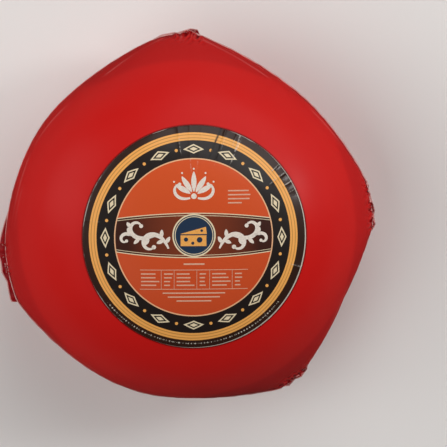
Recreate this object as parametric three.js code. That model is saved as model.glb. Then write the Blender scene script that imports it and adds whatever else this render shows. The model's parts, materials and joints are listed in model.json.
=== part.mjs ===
// A ball of semi-hard cheese in a red shrink bag, with a round paper label on its dome.
// Millimetres, +Z up. The ball lies on its flat base, and the origin is the middle of that base.
// +Y is the side of the bag's first corner, which is the top of the label, and +X is the label's right.
// The bag is shrunk tight on the cheese, so ball and film are one solid. The bag's four corners are left over
// as ears round the waist, and its two heat seals as a thin fin between neighbouring ears.

import * as THREE from "three";

const DEGREE = Math.PI / 180;

// The ball
const WAIST_RADIUS = 104;
const BALL_HEIGHT = 131;
const WAIST_HEIGHT = 59; // the widest girth lies a little below the middle
const BASE_FLAT_RADIUS = 47;
const BASE_CORNER_FULLNESS = 2.15; // exponent of the rounded edge under the waist, 2 is an ellipse
const DOME_PLAN_FULLNESS = 2.5; // exponents of the dome, outwards and upwards
const DOME_RISE_FULLNESS = 2.4;
const DOME_RISE = BALL_HEIGHT - WAIST_HEIGHT;

// The ears, each between two angles, with how far the film stands out there and the angle over which it
// falls back to the ball on either side. A tab of film stands out further from each. Its outline is a line
// through points, each an angle and how far it rises over the ear there.
const EARS = [
  {
    from: 88.5, to: 97, reach: [12.5, 10.6], fall: [38, 38],
    tab: [[85.5, 0], [86.4, 2.7], [88, 2.1], [92.4, 0.2], [93.2, 0.7], [97.5, 0.7], [100, 0]],
  },
  {
    from: 186, to: 203, reach: [4.8, 7.2], fall: [30, 34],
    tab: [
      [175, 0], [184, 3.2], [188.5, 4.8], [191.5, 3.8], [194.5, 4.2], [197.5, 2.4], [203.8, 3.8], [204.7, 0],
    ],
  },
  {
    from: 300, to: 310, reach: [11.2, 9.6], fall: [34, 34],
    tab: [[301, 0], [302.6, 2.2], [305, 1.2], [307.2, 2.5], [309.5, 1.6], [311, 0]],
  },
  {
    from: 360, to: 373, reach: [8.5, 7.5], fall: [34, 30],
    tab: [[357.5, 0], [359.5, 1.8], [362, 1], [364.2, 1.9], [367, 0.9], [370, 0.4], [374, 0]],
  },
];
const EAR_STEEPNESS = 2.2;
const EAR_DEPTH = 1.15; // how much faster an ear fades up and down than sideways
const PLEATS = 7; // half of the pleats that run together in an ear
const PLEAT_DEPTH = 0.009; // share of the radius at the ear
const PLEAT_SPREAD = 7 * DEGREE;

// The fin, widest along the two heat seals. At an ear it rises into the tab, which waves up and down.
const FIN_HALF_THICKNESS = 1;
const SEAL_WIDTH = 1.2;
const FOLD_WIDTH = 0.6;
const SEALS = [
  { from: 13.5, to: 87.5 },
  { from: 205.5, to: 299.5 },
];
const SEAL_FADE = 3 * DEGREE;
const TAB_WAVE = 1.3;
const TAB_WAVES_PER_TURN = 66;

// The label, stuck on a little off the middle
const LABEL_RADIUS = 64.5;
const LABEL_MIDDLE = { x: 2.8, y: -1.4 };
const LABEL_THICKNESS = 0.4;
const LABEL_GAP = 0.3;

const TURN_STEPS = 156;
const BASE_STEPS = 10;
const DOME_STEPS = 13;
const LABEL_TURN_STEPS = 60;
const LABEL_RINGS = 8;

const filmMaterial = new THREE.MeshStandardMaterial({ color: 0xc4211f, roughness: 0.3, metalness: 0 });
const labelMaterial = new THREE.MeshStandardMaterial({ color: 0x2b2521, roughness: 0.45, metalness: 0 });

// The difference between two angles in radians, from -half a turn to half a turn.
function turnBetween(a, b) {
  const full = 2 * Math.PI;
  return ((((a - b + Math.PI) % full) + full) % full) - Math.PI;
}

function middleOf(span) {
  return ((span.from + span.to) / 2) * DEGREE;
}

// Where an angle lies across a span: 0 at its start, 1 at its end, and held there outside it.
function shareAcross(span, angle) {
  const half = ((span.to - span.from) / 2) * DEGREE;
  const along = turnBetween(angle, middleOf(span)) / half;
  return (THREE.MathUtils.clamp(along, -1, 1) + 1) / 2;
}

// How far an angle lies outside a span, in radians.
function turnOutside(span, angle) {
  const half = ((span.to - span.from) / 2) * DEGREE;
  return Math.max(0, Math.abs(turnBetween(angle, middleOf(span))) - half);
}

// A pressed cheese is never quite round.
function unevenness(angle) {
  return 1 + 0.004 * Math.cos(2 * angle + 0.6) + 0.003 * Math.cos(3 * angle - 1);
}

// Film that is gathered to a point leaves the ball slowly and runs out ever more steeply to the ear.
// angle goes round the waist and lift is the angle above or below it. Returns the growth of the radius.
function earGrowth(angle, lift) {
  let growth = 1;
  for (const ear of EARS) {
    const across = shareAcross(ear, angle);
    const reach = THREE.MathUtils.lerp(...ear.reach, across);
    const fall = THREE.MathUtils.lerp(...ear.fall, across) * DEGREE;
    const away = Math.hypot(turnOutside(ear, angle), EAR_DEPTH * lift);
    if (away < fall) {
      const direction = Math.atan2(lift, turnBetween(angle, middleOf(ear)));
      const pleat = Math.abs(Math.sin(PLEATS * direction)) * Math.exp(-away / PLEAT_SPREAD);
      const rise = (reach / WAIST_RADIUS) * (1 - away / fall) ** EAR_STEEPNESS;
      growth = Math.max(growth, 1 + rise - PLEAT_DEPTH * pleat);
    }
  }
  return growth;
}

// 1 in a span, and 0 past fade beyond either end of it.
function presence(span, angle, fade) {
  return 1 - THREE.MathUtils.smoothstep(turnOutside(span, angle), 0, fade);
}

// The height at an angle of a line through points, each an angle in degrees and a height, and 0 outside it.
function heightOfLine(points, angle) {
  for (let i = 1; i < points.length; i++) {
    const span = { from: points[i - 1][0], to: points[i][0] };
    if (turnOutside(span, angle) === 0) {
      return THREE.MathUtils.lerp(points[i - 1][1], points[i][1], shareAcross(span, angle));
    }
  }
  return 0;
}

// How far a tab stands out over its ear, 0 away from all tabs.
function tabRise(angle) {
  return Math.max(...EARS.map((ear) => heightOfLine(ear.tab, angle)));
}

function finWidth(angle) {
  const seal = Math.max(...SEALS.map((span) => presence(span, angle, SEAL_FADE)));
  return THREE.MathUtils.lerp(FOLD_WIDTH, SEAL_WIDTH, seal) + tabRise(angle);
}

function finWave(angle) {
  const wave = Math.sin(TAB_WAVES_PER_TURN * angle);
  return Math.min(TAB_WAVE, tabRise(angle)) * wave;
}

// Height of the dome at a distance from the axis.
function domeHeight(radius) {
  const out = Math.min(1, radius / WAIST_RADIUS);
  return WAIST_HEIGHT + DOME_RISE * (1 - out ** DOME_PLAN_FULLNESS) ** (1 / DOME_RISE_FULLNESS);
}

// Half of the ball's outline as seen from the side, from the middle of the base to the top.
function ballProfile() {
  const points = [new THREE.Vector2(0, 0), new THREE.Vector2(BASE_FLAT_RADIUS / 2, 0)];
  const corner = WAIST_RADIUS - BASE_FLAT_RADIUS;
  for (let i = 0; i < BASE_STEPS; i++) {
    const turn = (i / BASE_STEPS) * 90 * DEGREE;
    const out = Math.sin(turn) ** (2 / BASE_CORNER_FULLNESS);
    const down = Math.cos(turn) ** (2 / BASE_CORNER_FULLNESS);
    points.push(new THREE.Vector2(BASE_FLAT_RADIUS + corner * out, WAIST_HEIGHT * (1 - down)));
  }
  for (const step of [-1, -0.5, 0, 0.5, 1]) {
    points.push(new THREE.Vector2(WAIST_RADIUS, WAIST_HEIGHT + step * FIN_HALF_THICKNESS)); // the fin
  }
  for (let i = 1; i <= DOME_STEPS; i++) {
    const turn = (i / DOME_STEPS) * 90 * DEGREE;
    const out = i < DOME_STEPS ? Math.cos(turn) ** (2 / DOME_PLAN_FULLNESS) : 0;
    const radius = WAIST_RADIUS * out;
    points.push(new THREE.Vector2(radius, domeHeight(radius)));
  }
  return points;
}

// A closed turned surface about Z, from a profile that starts and ends on the axis.
function turned(profile, steps) {
  return new THREE.LatheGeometry(profile, steps).rotateX(90 * DEGREE);
}

// Moves every vertex of a geometry to where place puts it.
function reshape(geometry, place) {
  const position = geometry.getAttribute("position");
  const point = new THREE.Vector3();
  for (let i = 0; i < position.count; i++) {
    place(point.fromBufferAttribute(position, i));
    position.setXYZ(i, point.x, point.y, point.z);
  }
  return geometry;
}

// Draws the steps round the ball closer together at the ears, where the film is creased.
function crowdedAngle(angle) {
  const pull = 0.6;
  const width = 17 * DEGREE;
  let moved = angle;
  for (const ear of EARS) {
    const past = turnBetween(angle, middleOf(ear));
    moved -= pull * past * Math.exp(-((past / width) ** 2));
  }
  return moved;
}

// Moves a point of the plain turned ball to its place on the uneven, eared one. The rows of points
// within the fin's thickness are moved out into the fin, the middle row furthest.
function placeOnBall(point) {
  const radius = Math.hypot(point.x, point.y);
  const angle = crowdedAngle(Math.atan2(point.y, point.x));
  const rise = point.z - WAIST_HEIGHT;
  const inFin = Math.max(0, 1 - Math.abs(rise) / FIN_HALF_THICKNESS);
  const growth = radius > BASE_FLAT_RADIUS ? earGrowth(angle, Math.atan2(rise, radius)) : 1;
  const out = radius * unevenness(angle) * growth + inFin * finWidth(angle);
  const height = WAIST_HEIGHT + rise * growth + inFin * finWave(angle);
  point.set(out * Math.cos(angle), out * Math.sin(angle), height);
}

// The label lies on the dome at a small even gap, and is a disc of even thickness.
function labelGeometry() {
  const profile = [];
  for (let i = 0; i <= LABEL_RINGS; i++) {
    profile.push(new THREE.Vector2((i / LABEL_RINGS) * LABEL_RADIUS, 0));
  }
  for (let i = LABEL_RINGS; i >= 0; i--) {
    profile.push(new THREE.Vector2((i / LABEL_RINGS) * LABEL_RADIUS, LABEL_THICKNESS));
  }
  return reshape(turned(profile, LABEL_TURN_STEPS), (point) => {
    const x = point.x + LABEL_MIDDLE.x;
    const y = point.y + LABEL_MIDDLE.y;
    const radius = Math.hypot(x, y) / unevenness(Math.atan2(y, x));
    point.set(x, y, domeHeight(radius) + LABEL_GAP + point.z);
  });
}

function wrappedBall() {
  const mesh = new THREE.Mesh(reshape(turned(ballProfile(), TURN_STEPS), placeOnBall), filmMaterial);
  mesh.name = "wrapped_ball";
  return mesh;
}

function label() {
  const mesh = new THREE.Mesh(labelGeometry(), labelMaterial);
  mesh.name = "label";
  return mesh;
}

const cheese = new THREE.Group();
cheese.add(wrappedBall(), label());

export default cheese;
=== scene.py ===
# %% [markdown]
# # A ball of cheese in red shrink film
# The real object is a pressed cheese, about 210 mm across and 131 mm high. It lies on its flat base, drawn
# tight into a red plastic bag, with a round printed label on its dome. This lesson builds its looks round a
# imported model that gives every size. The order is view, light, helpers, bag, label and print.

import json
import math

import bmesh
import bpy
import numpy as np
from mathutils import Matrix, Vector

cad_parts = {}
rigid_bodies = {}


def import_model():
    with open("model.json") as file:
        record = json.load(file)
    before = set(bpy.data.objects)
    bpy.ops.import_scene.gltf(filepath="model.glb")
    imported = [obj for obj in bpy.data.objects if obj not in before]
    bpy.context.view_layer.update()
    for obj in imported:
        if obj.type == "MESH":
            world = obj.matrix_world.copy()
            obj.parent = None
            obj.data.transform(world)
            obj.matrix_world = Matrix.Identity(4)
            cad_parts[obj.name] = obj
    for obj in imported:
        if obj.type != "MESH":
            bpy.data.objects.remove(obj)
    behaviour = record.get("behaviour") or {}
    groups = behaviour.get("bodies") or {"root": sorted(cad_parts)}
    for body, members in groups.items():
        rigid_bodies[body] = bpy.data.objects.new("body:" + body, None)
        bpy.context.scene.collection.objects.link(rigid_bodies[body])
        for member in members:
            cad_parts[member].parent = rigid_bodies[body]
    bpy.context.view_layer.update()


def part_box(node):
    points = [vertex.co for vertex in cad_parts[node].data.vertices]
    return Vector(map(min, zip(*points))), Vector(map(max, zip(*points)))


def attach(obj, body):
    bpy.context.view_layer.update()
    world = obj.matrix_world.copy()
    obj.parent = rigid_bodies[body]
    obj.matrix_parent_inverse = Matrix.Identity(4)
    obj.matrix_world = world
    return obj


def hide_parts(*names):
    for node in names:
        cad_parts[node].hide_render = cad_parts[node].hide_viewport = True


for leftover in list(bpy.data.objects):
    bpy.data.objects.remove(leftover)

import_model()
MM = 0.001
DEGREE = math.pi / 180
BALL_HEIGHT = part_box("wrapped_ball")[1].z
LABEL_LOW, LABEL_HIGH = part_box("label")
print("the ball is", round(BALL_HEIGHT / MM, 1), "mm high")

# %% [markdown]
# ## View
# The ball is seen from nearly straight above its label, so the camera looks down on it from 1.5 m. It leans a
# little towards the upper left of the picture, which moves the dome to the lower right of the waist. A camera
# helper that keeps the world's up direction would roll this view, so its three axes are given one by one.

# %% The camera, looking down on the label
WAIST_RADIUS = 104 * MM
WAIST_HEIGHT = 59 * MM
BODY_RADIUS = 105 * MM  # the waist with its fin, as the picture shows it
PICTURE_WIDTH = 447  # the photograph's width in its own pixels
BODY_WIDTH = 349  # the round body's width in them
BODY_OFF_MIDDLE = (-37.9, -1.1)  # where its middle lies from the picture's middle, right and up
CAMERA_DISTANCE = 1.5
CAMERA_LEAN = (-0.038, 0.092)  # sideways and upwards in the picture, for each metre of distance

metres_per_pixel = 2 * BODY_RADIUS / BODY_WIDTH
view_width = PICTURE_WIDTH * metres_per_pixel
aim = Vector((-BODY_OFF_MIDDLE[0] * metres_per_pixel, -BODY_OFF_MIDDLE[1] * metres_per_pixel, WAIST_HEIGHT))
camera_place = Vector((*CAMERA_LEAN, 1)) * CAMERA_DISTANCE + Vector((0, 0, WAIST_HEIGHT))
back = (camera_place - aim).normalized()
right = Vector((0, 1, 0)).cross(back).normalized()
up = back.cross(right)

camera_data = bpy.data.cameras.new("camera")
camera_data.lens = camera_data.sensor_width * (camera_place - aim).length / view_width
camera = bpy.data.objects.new("camera", camera_data)
camera.matrix_world = Matrix.Translation(camera_place) @ Matrix((right, up, back)).transposed().to_4x4()
bpy.context.scene.collection.objects.link(camera)
bpy.context.scene.camera = camera
bpy.context.scene.view_settings.view_transform = "Standard"
print("the view is", round(view_width / MM), "mm wide, with a lens of", round(camera_data.lens), "mm")

# %% [markdown]
# ## Helpers
# Colours are written as the sRGB hex values that a picture shows. Shaders work with linear light, so one
# function turns them. One more adds a node, sets what is given and links its inputs, so that every material
# below reads as a short list of steps.

# %% Colour and shader nodes
def linear(colour):
    channels = [int(colour[i:i + 2], 16) / 255 for i in (1, 3, 5)]
    return [c / 12.92 if c <= 0.04045 else ((c + 0.055) / 1.055) ** 2.4 for c in channels] + [1.0]


def add_node(tree, kind, inputs=None, **settings):
    """Adds a node. An input is a socket to link, a hex colour or a number, by name or by place."""
    node = tree.nodes.new(kind)
    for name, value in settings.items():
        setattr(node, name, value)
    for name, value in (inputs or {}).items():
        if isinstance(value, bpy.types.NodeSocket):
            tree.links.new(value, node.inputs[name])
        else:
            node.inputs[name].default_value = linear(value) if isinstance(value, str) else value
    return node


def new_material(name):
    material = bpy.data.materials.new(name)
    material.use_nodes = True
    material.node_tree.nodes.clear()
    return material, material.node_tree


def wear(piece, *materials):
    for material in materials:
        piece.data.materials.append(material)


# %% [markdown]
# Every piece is a closed skin: a grid of points that runs round one way and is closed by a point at each end
# the other way. The ball, the label, a printed dot and a printed line are all that same form. Modifiers could
# turn and bend such forms too, but a grid that is worked out point by point takes dents, creases and a fin in
# one go. So one function makes the faces, and another turns any number of skins into one mesh.

# %% Closed skins
def skin(grid, start, end):
    """Points and faces of a grid of rows by columns, closed round its columns, with a point at each end."""
    rows, columns = grid.shape[:2]
    points = np.vstack([[start], grid.reshape(-1, 3), [end]])
    index = 1 + np.arange(rows * columns).reshape(rows, columns)
    after = np.roll(index, -1, axis=1)
    quads = np.stack([index[:-1], after[:-1], after[1:], index[1:]], axis=-1).reshape(-1, 4)
    first = np.stack([np.zeros(columns, int), after[0], index[0]], axis=-1)
    last = np.stack([np.full(columns, len(points) - 1), index[-1], after[-1]], axis=-1)
    return points, [*first.tolist(), *quads.tolist(), *last.tolist()]


def make_piece(name, skins, smooth=True):
    """One mesh of any number of skins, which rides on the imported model's only body."""
    points = np.vstack([p for p, _ in skins])
    faces = []
    offset = 0
    for p, f in skins:
        faces += [[i + offset for i in face] for face in f]
        offset += len(p)
    mesh = bpy.data.meshes.new(name)
    mesh.from_pydata(points.tolist(), [], faces)
    shape = bmesh.new()
    shape.from_mesh(mesh)
    bmesh.ops.recalc_face_normals(shape, faces=shape.faces)
    shape.to_mesh(mesh)
    shape.free()
    if smooth:
        mesh.shade_smooth()
    piece = bpy.data.objects.new(name, mesh)
    bpy.context.scene.collection.objects.link(piece)
    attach(piece, "root")
    print(name, "has", len(mesh.polygons), "faces")
    return piece


def paint(piece, name, values):
    """Stores one number for each point, which the piece's material reads by name."""
    piece.data.attributes.new(name, "FLOAT", "POINT").data.foreach_set("value", values.astype(np.float32))


# %% [markdown]
# ## Floor and light
# The studio is plain: a pale floor and soft boxes. A sky alone could light the ball evenly, but lamps can be
# placed one by one until each side of the film has its tone. The large one stands past the top of the picture
# and is the main light. A small one at the right puts the soft shine on the film beside the label, and a low
# one at the left lifts that side. Two more fill the shaded sides and leave no shine of their own. The film's
# steep sides would mirror the pale floor as a grey band, so the floor is kept out of mirrored light, as a
# black card would do it in a studio.

# %% A pale floor
FLOOR_REACH = 3.0

floor_mesh = bpy.data.meshes.new("floor")
corners = [(-FLOOR_REACH, -FLOOR_REACH, 0), (FLOOR_REACH, -FLOOR_REACH, 0)]
corners += [(FLOOR_REACH, FLOOR_REACH, 0), (-FLOOR_REACH, FLOOR_REACH, 0)]
floor_mesh.from_pydata(corners, [], [(0, 1, 2, 3)])
floor = bpy.data.objects.new("floor", floor_mesh)
bpy.context.scene.collection.objects.link(floor)
floor.visible_glossy = False

board, tree = new_material("painted board")
grain = add_node(tree, "ShaderNodeTexNoise", {"Scale": 1 / (330 * MM), "Detail": 2.0})
tone = add_node(tree, "ShaderNodeMix", {
    "Factor": grain.outputs["Fac"], "A": "#ebe8e5", "B": "#f0edea"}, data_type="RGBA")
shader = add_node(tree, "ShaderNodeBsdfPrincipled", {"Base Color": tone.outputs["Result"], "Roughness": 0.8})
add_node(tree, "ShaderNodeOutputMaterial", {"Surface": shader.outputs["BSDF"]})
wear(floor, board)
print("the floor is", 2 * FLOOR_REACH, "m wide")

# %% Soft boxes and sky
def soft_box(name, azimuth, elevation, distance, size, power, shines=True):
    """A square lamp that faces the ball. Azimuth is counted from the picture's right, anticlockwise."""
    data = bpy.data.lights.new(name, "AREA")
    data.size = size
    data.energy = power
    lamp = bpy.data.objects.new(name, data)
    lamp.visible_glossy = shines
    level = math.cos(elevation * DEGREE)
    way = Vector((level * math.cos(azimuth * DEGREE), level * math.sin(azimuth * DEGREE),
                  math.sin(elevation * DEGREE)))
    lamp.location = way * distance
    lamp.rotation_mode = "QUATERNION"
    lamp.rotation_quaternion = way.to_track_quat("Z", "Y")
    bpy.context.scene.collection.objects.link(lamp)
    print(name, "is", size, "m wide and gives", power, "W")


soft_box("key_light", azimuth=68, elevation=42, distance=1.9, size=1.8, power=14.5)
soft_box("right_light", azimuth=20, elevation=40, distance=1.7, size=0.3, power=4)
soft_box("left_light", azimuth=163, elevation=30, distance=1.8, size=1.2, power=7.5)
soft_box("upper_fill", azimuth=195, elevation=54, distance=2.0, size=1.6, power=17, shines=False)
soft_box("low_fill", azimuth=20, elevation=20, distance=2.0, size=1.2, power=14, shines=False)

sky = bpy.data.worlds.new("sky")
sky.use_nodes = True
sky.node_tree.nodes["Background"].inputs["Color"].default_value = linear("#f4f2f0")
sky.node_tree.nodes["Background"].inputs["Strength"].default_value = 0.03
bpy.context.scene.world = sky

# %% [markdown]
# ## The bag's form
# A shrink bag is a flat pouch. Heat draws it tight onto the ball, and what is left over gathers at its four
# corners, so the round body gets four ears. Film that is gathered to a point leaves the ball slowly and runs
# out ever more steeply. A cloth simulation could find such a form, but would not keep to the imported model's
# sizes. Formulas of the angle do, and they take whole arrays, so the fine mesh is made in one go.

# %% Sizes of the ball and its ears
BASE_FLAT_RADIUS = 47 * MM
BASE_CORNER_FULLNESS = 2.15
DOME_PLAN_FULLNESS = 2.5
DOME_RISE_FULLNESS = 2.4
# Each ear: the angles it spans, then how far it stands out in millimetres and over what angle it falls back,
# at both of its ends. Then the angles between which the film is crumpled, how crumpled it is and how many
# lobes gather there. Its tab is a line through points, each an angle and how far the tab rises over the ear.
EARS = [
    {
        "span": (88.5, 97), "reach": (12.5, 10.6), "fall": (38, 38),
        "crumpled": (85.5, 92.5), "crumple": 1.0, "lobes": 9,
        "tab": [(85.5, 0), (86.4, 2.7), (88, 2.1), (92.4, 0.2), (93.2, 0.7), (97.5, 0.7), (100, 0)],
    },
    {
        "span": (186, 203), "reach": (4.8, 7.2), "fall": (30, 34),
        "crumpled": (187, 195), "crumple": 0.5, "lobes": 4,
        "tab": [(175, 0), (184, 3.2), (188.5, 4.8), (191.5, 3.8), (194.5, 4.2), (197.5, 2.4), (203.8, 3.8),
                (204.7, 0)],
    },
    {
        "span": (300, 310), "reach": (11.2, 9.6), "fall": (34, 34),
        "crumpled": (301.5, 310.5), "crumple": 1.0, "lobes": 11,
        "tab": [(301, 0), (302.6, 2.2), (305, 1.2), (307.2, 2.5), (309.5, 1.6), (311, 0)],
    },
    {
        "span": (360, 373), "reach": (8.5, 7.5), "fall": (34, 30),
        "crumpled": (358.5, 372), "crumple": 0.9, "lobes": 12,
        "tab": [(357.5, 0), (359.5, 1.8), (362, 1), (364.2, 1.9), (367, 0.9), (370, 0.4), (374, 0)],
    },
]
SEALS = [(13.5, 87.5), (205.5, 299.5)]  # the angles that the two heat seals span
print("the ears stand out", [max(ear["reach"]) for ear in EARS], "mm")


def middle_of(span):
    return sum(span) / 2 * DEGREE


def turn_between(a, b):
    return (a - b + math.pi) % (2 * math.pi) - math.pi


def share_across(span, angle):
    """0 where an angle lies at the start of a span, 1 at its end, and held there outside it."""
    half = (span[1] - span[0]) / 2 * DEGREE
    return (np.clip(turn_between(angle, middle_of(span)) / half, -1, 1) + 1) / 2


def turn_outside(span, angle):
    half = (span[1] - span[0]) / 2 * DEGREE
    return np.maximum(0, np.abs(turn_between(angle, middle_of(span))) - half)


def smooth_step(low, high, value):
    share = np.clip((value - low) / (high - low), 0, 1)
    return share * share * (3 - 2 * share)


def presence(span, angle, fade):
    """1 in a span and 0 past the fade beyond either end of it."""
    return 1 - smooth_step(0, fade, turn_outside(span, angle))


def between(pair, share):
    return pair[0] + (pair[1] - pair[0]) * share


# %% The ball's unevenness, the ears and their pleats
EAR_DEPTH = 1.15  # how much faster an ear fades up and down than sideways
EAR_STEEPNESS = 2.2
PLEAT_SPREAD = 5 * DEGREE
PLEAT_DEPTH = 0.006  # share of the radius
PLEATS = (7, 11, 16)  # pleats that run together in an ear, in three sizes
OVAL = (0.004, 0.6)  # the share of the radius that makes the ball oval, and its turn in radians
THREE_SIDED = (0.003, -1)  # the same for the share that makes it a little three-sided


def unevenness(angle):
    """The radius of the pressed cheese at an angle, as a share of a round one's."""
    oval = OVAL[0] * np.cos(2 * angle + OVAL[1])
    three_sided = THREE_SIDED[0] * np.cos(3 * angle + THREE_SIDED[1])
    return 1 + oval + three_sided


def ear_shape(angle, lift):
    """The growth of the radius at an angle round the waist and a lift above it, and the depth in a pleat."""
    growth = np.ones_like(angle)
    troughs = np.zeros_like(angle)
    for ear in EARS:
        across = share_across(ear["span"], angle)
        fall = between(ear["fall"], across) * DEGREE
        away = np.hypot(turn_outside(ear["span"], angle), EAR_DEPTH * lift)
        direction = np.arctan2(lift, turn_between(angle, middle_of(ear["span"])))
        waves = sum(np.abs(np.sin(n * direction + n)) / i for i, n in enumerate(PLEATS, 1))
        trough = waves / sum(1 / i for i in range(1, len(PLEATS) + 1)) * np.exp(-away / PLEAT_SPREAD)
        fade = np.maximum(0, 1 - away / fall) ** EAR_STEEPNESS
        rise = between(ear["reach"], across) * MM / WAIST_RADIUS * fade
        growth = np.where(away < fall, np.maximum(growth, 1 + rise - PLEAT_DEPTH * trough), growth)
        troughs = np.maximum(troughs, np.where(away < fall, trough, 0))
    return growth, troughs


def waist_at(angle):
    """The body's radius at its waist."""
    return WAIST_RADIUS * unevenness(angle) * ear_shape(angle, np.zeros_like(angle))[0]


def dome_height(radius):
    out = np.minimum(1, radius / WAIST_RADIUS)
    rise = (1 - out ** DOME_PLAN_FULLNESS) ** (1 / DOME_RISE_FULLNESS)
    return WAIST_HEIGHT + (BALL_HEIGHT - WAIST_HEIGHT) * rise


# %% [markdown]
# Along its waist the bag ends in a thin fin: a heat seal on two sides and a pressed fold on the others. Its
# edge is painted pale, as the highlight that the thin film's edge catches. The fin could be a ring of its
# own, but a gap would show where the film runs into it. So it is part of the ball's skin: a few rows of the
# grid go out along its underside, round its edge and back along its top.

# %% The rows of the ball's skin, from the middle of the base to the top
FIN_ROOT_HALF = 0.9 * MM
FIN_EDGE_HALF = 0.3 * MM
FIN_STEPS = 6
SEAL_WIDTH = 1.2 * MM
FOLD_WIDTH = 0.6 * MM
SEAL_FADE = 3 * DEGREE
FLAT_ROWS = 8
SIDE_ROWS = 44
DOME_ROWS = 96
WAIST_CROWDING = 1.3  # over 1, the dome's rows stand closer together near the waist, where it is creased

flat = [(BASE_FLAT_RADIUS * i / FLAT_ROWS, 0.0, 0.0) for i in range(1, FLAT_ROWS)]
side = []
for turn in np.linspace(0, math.pi / 2, SIDE_ROWS, endpoint=False):
    out = math.sin(turn) ** (2 / BASE_CORNER_FULLNESS)
    down = math.cos(turn) ** (2 / BASE_CORNER_FULLNESS)
    reach = WAIST_RADIUS - BASE_FLAT_RADIUS
    side.append((BASE_FLAT_RADIUS + reach * out, (WAIST_HEIGHT - FIN_ROOT_HALF) * (1 - down), 0.0))
fin = []
for step in range(-FIN_STEPS, FIN_STEPS + 1):
    share = 1 - abs(step) / FIN_STEPS
    half = between((FIN_ROOT_HALF, FIN_EDGE_HALF), share) if step else 0.0
    fin.append((WAIST_RADIUS, WAIST_HEIGHT + math.copysign(half, step), share))
dome = []
for share in np.linspace(0, 1, DOME_ROWS, endpoint=False)[1:]:
    radius = WAIST_RADIUS * math.cos(share ** WAIST_CROWDING * math.pi / 2) ** (2 / DOME_PLAN_FULLNESS)
    dome.append((radius, float(dome_height(radius)), 0.0))
ROWS = np.array(flat + side + fin + dome)
print("the skin has", len(ROWS), "rows, of which", len(fin), "make the fin")

# %% [markdown]
# The columns stand closer together at the ears, where the film is creased. A running total of a density does
# that: where the density is high, the angles that share it out evenly lie close.

# %% The columns of the ball's skin
COLUMNS = 1080
EAR_CROWDING = 3.0
EAR_CROWD_WIDTH = 9 * DEGREE

around = np.linspace(0, 2 * math.pi, 7201)
density = np.ones_like(around)
for ear in EARS:
    density += EAR_CROWDING * np.exp(-(turn_outside(ear["span"], around) / EAR_CROWD_WIDTH) ** 2)
total = np.concatenate([[0], np.cumsum((density[1:] + density[:-1]) / 2)])
angles = np.interp(np.arange(COLUMNS) / COLUMNS * total[-1], total, around)
print("columns stand", round(np.diff(angles).min() * WAIST_RADIUS / MM, 2), "to",
      round(np.diff(angles).max() * WAIST_RADIUS / MM, 2), "mm apart at the waist")

# %% [markdown]
# Film that has shrunk onto a pressed cheese is never a perfect surface. It shows the cheese's slow dents, it
# puckers along the fin, it is crumpled at the corners, and beside the fin it has a few long folds. A bump in
# the material could draw them, but real heights also shape the outline, and the colours can follow them. A
# few plane waves that cross at random directions give a height for any point in space, and a fixed seed gives
# the same one each time. Where the waves cancel each other and the height passes zero, a sharp crease runs.

# %% Random heights
WAVELENGTH_SPREAD = (0.75, 1.4)  # the shortest and longest wave, as shares of the wavelength asked for


def ripple(points, wavelength, seed, waves=9):
    """A smooth random height from about -1 to 1 for each point."""
    draw = np.random.default_rng(seed)
    height = np.zeros(points.shape[:-1])
    for _ in range(waves):
        way = draw.normal(size=3)
        way *= 2 * math.pi / (wavelength * draw.uniform(*WAVELENGTH_SPREAD) * np.linalg.norm(way))
        height += np.sin(points @ way + draw.uniform(0, 2 * math.pi))
    return height / math.sqrt(2 * waves)


# %% Slow dents, puckers, crumples and long folds
DENT_DEPTH = 0.3 * MM
DENT_WIDTH = 55 * MM
DENT_CLEARANCE = 8 * MM  # the dents grow to their full depth over this height above the flat base
DENT_RISE = 0.6  # how much a dent moves the dome up and down, as a share of in and out
DENT_RISE_HEIGHT = 60 * MM  # how far above the waist it does so in full
PUCKER_DEPTH = 0.4 * MM
PUCKER_WIDTH = 5 * MM
PUCKER_FADE = 9 * MM
PUCKER_STRETCH = 0.35  # puckers cross the fin, so they are longer up and down than round the ball
PUCKER_ON_BALL = 0.5  # share of a pucker's height that shows on the ball beside the fin
CRUMPLE_DEPTH = 0.8 * MM
CRUMPLE_WIDTH = 4 * MM
CRUMPLE_FADE = 10 * MM
CRUMPLE_SIDE_FADE = 3 * DEGREE
FIN_UNEVENNESS = 0.12  # share of the fin's width
FIN_UNEVEN_WIDTH = 5 * MM
FOLD_HEIGHT = 0.25 * MM
FOLD_HALF = 0.5 * MM
FOLD_FADE = 4 * DEGREE
FOLD_CHANGE_WIDTH = 40 * MM  # over this length a fold goes from sharp to faint and back
# Each long fold: the angles it runs between, and how far inside the outline it lies at both, in millimetres.
LONG_FOLDS = [
    ((157, 187), (2.2, 3.4)), ((168, 190), (4.6, 4.8)), ((126, 149), (3.4, 2.2)), ((99, 116), (1.4, 3.2)),
    ((64, 83), (2.8, 1.5)), ((24, 41), (1.6, 2.4)), ((207, 236), (1.6, 3.6)), ((264, 288), (3.0, 1.8)),
    ((316, 338), (1.8, 3.4)),
]


def long_folds(angle, inset):
    """How near a point is to the crest of a long fold, from 0 to 1."""
    crest = np.zeros_like(angle)
    for span, insets in LONG_FOLDS:
        aside = np.abs(inset - between(insets, share_across(span, angle)) * MM) / FOLD_HALF
        crest = np.maximum(crest, np.clip(1 - aside, 0, 1) * presence(span, angle, FOLD_FADE))
    return crest


# %% The ball's skin
angle, radius = np.meshgrid(angles, ROWS[:, 0])
rise = (ROWS[:, 1] - WAIST_HEIGHT)[:, None] * np.ones_like(angle)
fin_share = ROWS[:, 2][:, None] * np.ones_like(angle)
growth, troughs = ear_shape(angle, np.arctan2(rise, radius))
growth = np.where(radius > BASE_FLAT_RADIUS, growth, 1.0)
seal = np.maximum.reduce([presence(span, angle, SEAL_FADE) for span in SEALS])
fin_width = between((FOLD_WIDTH, SEAL_WIDTH), seal)

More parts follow.
